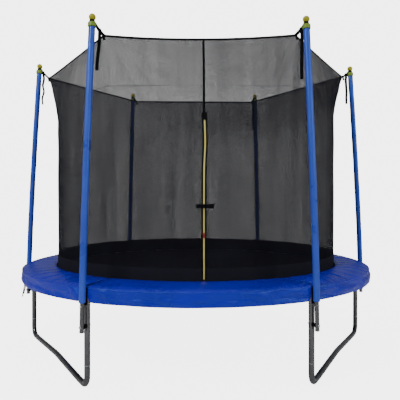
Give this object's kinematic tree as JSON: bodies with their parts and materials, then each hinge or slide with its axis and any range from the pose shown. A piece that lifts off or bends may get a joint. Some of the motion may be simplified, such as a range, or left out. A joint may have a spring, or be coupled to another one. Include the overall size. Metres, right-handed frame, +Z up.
{
  "type": "trampoline",
  "caption": "Round garden trampoline on U-shaped steel legs, with a sprung mat, blue edge pad, padded net poles and a black safety net with a zip door.",
  "frame": {"origin": "on the ground under the middle of the mat", "axes": "+Z up; -Y out of the net's door; +X to the right of someone who faces the door"},
  "size_m": [2.517, 2.44, 2.0085],
  "materials": {
    "galvanised_steel": "satin galvanised tube",
    "blue_pvc_foam": "glossy blue PVC skin over foam tube",
    "yellow_green_plastic": "moulded olive yellow plastic",
    "black_plastic": "moulded, fine texture",
    "black_webbing": "woven webbing",
    "blue_pvc_cover": "glossy coated PVC cloth with welded seams",
    "black_mat": "tight woven polypropylene",
    "spring_steel": "zinc plated wire",
    "black_net": "fine knitted mesh",
    "yellow_zip_tape": "coil chain on woven tape",
    "red_enamel": "enamelled die-cast"
  },
  "bodies": {
    "frame": {"top_rail_front_left": "galvanised_steel", "top_rail_front_right": "galvanised_steel", "top_rail_right": "galvanised_steel", "top_rail_back_right": "galvanised_steel", "top_rail_back_left": "galvanised_steel", "top_rail_left": "galvanised_steel", "leg_upright_front_left": "galvanised_steel", "leg_upright_front_right": "galvanised_steel", "leg_upright_right": "galvanised_steel", "leg_upright_back_right": "galvanised_steel", "leg_upright_back_left": "galvanised_steel", "leg_upright_left": "galvanised_steel", "leg_base_left": "galvanised_steel", "leg_base_right": "galvanised_steel", "leg_base_back": "galvanised_steel", "net_pole_front_left": "galvanised_steel", "net_pole_front_right": "galvanised_steel", "net_pole_right": "galvanised_steel", "net_pole_back_right": "galvanised_steel", "net_pole_back_left": "galvanised_steel", "net_pole_left": "galvanised_steel", "pole_foam_front_left": "blue_pvc_foam", "pole_foam_front_right": "blue_pvc_foam", "pole_foam_right": "blue_pvc_foam", "pole_foam_back_right": "blue_pvc_foam", "pole_foam_back_left": "blue_pvc_foam", "pole_foam_left": "blue_pvc_foam", "pole_cap_front_left": "yellow_green_plastic", "pole_cap_front_right": "yellow_green_plastic", "pole_cap_right": "yellow_green_plastic", "pole_cap_back_right": "yellow_green_plastic", "pole_cap_back_left": "yellow_green_plastic", "pole_cap_left": "yellow_green_plastic", "pole_fixing_front_left": "black_plastic", "pole_fixing_front_right": "black_plastic", "pole_fixing_right": "black_plastic", "pole_fixing_back_right": "black_plastic", "pole_fixing_back_left": "black_plastic", "pole_fixing_left": "black_plastic", "net_strap_front_left": "black_webbing", "net_strap_front_right": "black_webbing", "net_strap_right": "black_webbing", "net_strap_back_right": "black_webbing", "net_strap_back_left": "black_webbing", "net_strap_left": "black_webbing", "strap_tail_front_left": "black_webbing", "strap_tail_front_right": "black_webbing", "strap_tail_right": "black_webbing", "strap_tail_back_right": "black_webbing", "strap_tail_left": "black_webbing", "safety_pad": "blue_pvc_cover", "springs": "spring_steel", "enclosure_net": "black_net", "door_zipper": "yellow_zip_tape", "buckle_socket": "black_plastic"},
    "mat": {"jump_mat": "black_mat"},
    "slider": {"zip_slider": "red_enamel"},
    "puller": {"zip_puller": "red_enamel"},
    "prong": {"buckle_prong": "black_plastic"}
  },
  "joints": [
    {"name": "mat_bounce", "type": "slide", "parent": "frame", "child": "mat", "axis": [0, 0, 1], "range_m": [-0.12, 0], "stiffness_N_per_m": 5000, "springref_m": 0.02, "deforming": ["springs"]},
    {"name": "zip_slide", "type": "slide", "parent": "frame", "child": "slider", "axis": [0, 0, 1], "range_m": [-0.22, 0.62]},
    {"name": "puller_swing", "type": "hinge", "parent": "slider", "child": "puller", "pos_m": [0.02262, -0.99664, 0.821], "axis": [-0.9997, -0.0227, 0], "range_deg": [0, 170]},
    {"name": "buckle_release", "type": "slide", "parent": "frame", "child": "prong", "axis": [0.9997, 0.0227, 0], "range_m": [0, 0.024]}
  ]
}
